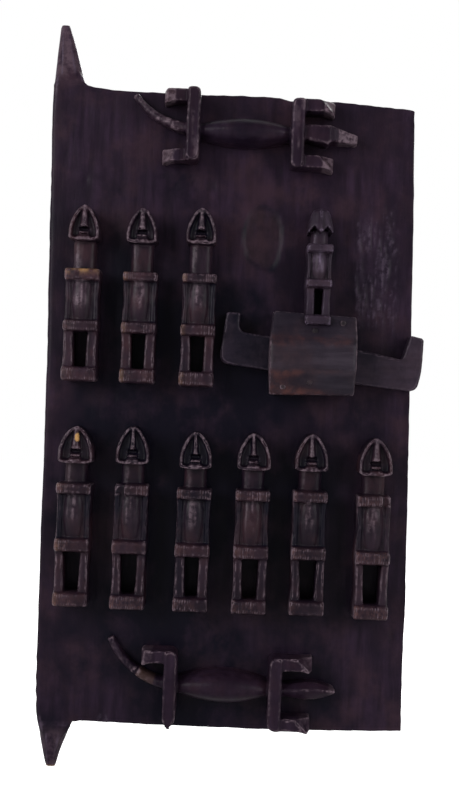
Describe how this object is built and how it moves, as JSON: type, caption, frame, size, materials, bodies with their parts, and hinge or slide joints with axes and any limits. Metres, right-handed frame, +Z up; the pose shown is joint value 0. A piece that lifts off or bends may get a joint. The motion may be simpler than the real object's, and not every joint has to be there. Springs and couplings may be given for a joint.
{
  "type": "granary door",
  "caption": "Carved wooden granary door on two pivots, with rows of standing figures, two lizards and a sliding wooden lock.",
  "frame": {"origin": "tip of the lower pivot, on the axis that the door turns on, halfway through the plank's thickness", "axes": "+Z up along the pivot axis, +X from the hinge edge to the free edge, and the carved front faces -Y"},
  "size_m": [0.3793, 0.072, 0.746],
  "materials": {
    "plank_wood": "hewn and oiled black with handling, satin on the high grain",
    "figure_wood": "carved, dark patina, rubbed to red-brown on its edges",
    "lizard_wood": "carved, dark patina, rubbed along its ridge",
    "lock_wood": "hewn facets, dark red-brown patina",
    "bolt_wood": "slid smooth, satin",
    "tumbler_wood": "bare wood",
    "peg_wood": "bare end grain"
  },
  "bodies": {
    "door": {"panel": "plank_wood", "ancestor_upper_1": "figure_wood", "ancestor_upper_2": "figure_wood", "ancestor_upper_3": "figure_wood", "ancestor_lower_1": "figure_wood", "ancestor_lower_2": "figure_wood", "ancestor_lower_3": "figure_wood", "ancestor_lower_4": "figure_wood", "ancestor_lower_5": "figure_wood", "ancestor_lower_6": "figure_wood", "lizard_upper": "lizard_wood", "lizard_lower": "lizard_wood", "lock_figure": "lock_wood", "lock_case": "lock_wood", "case_peg_1": "peg_wood", "case_peg_2": "peg_wood", "case_peg_3": "peg_wood", "case_peg_4": "peg_wood"},
    "bolt": {"bolt": "bolt_wood"},
    "tumbler_left": {"tumbler_1": "tumbler_wood"},
    "tumbler_right": {"tumbler_2": "tumbler_wood"}
  },
  "joints": [
    {"name": "bolt_slide", "type": "slide", "parent": "door", "child": "bolt", "axis": [0.991, 0, -0.134], "range_m": [-0.005, 0.0225]},
    {"name": "tumbler_left_lift", "type": "slide", "parent": "door", "child": "tumbler_left", "axis": [0.134, 0, 0.991], "range_m": [0, 0.006]},
    {"name": "tumbler_right_lift", "type": "slide", "parent": "door", "child": "tumbler_right", "axis": [0.134, 0, 0.991], "range_m": [0, 0.006]}
  ]
}
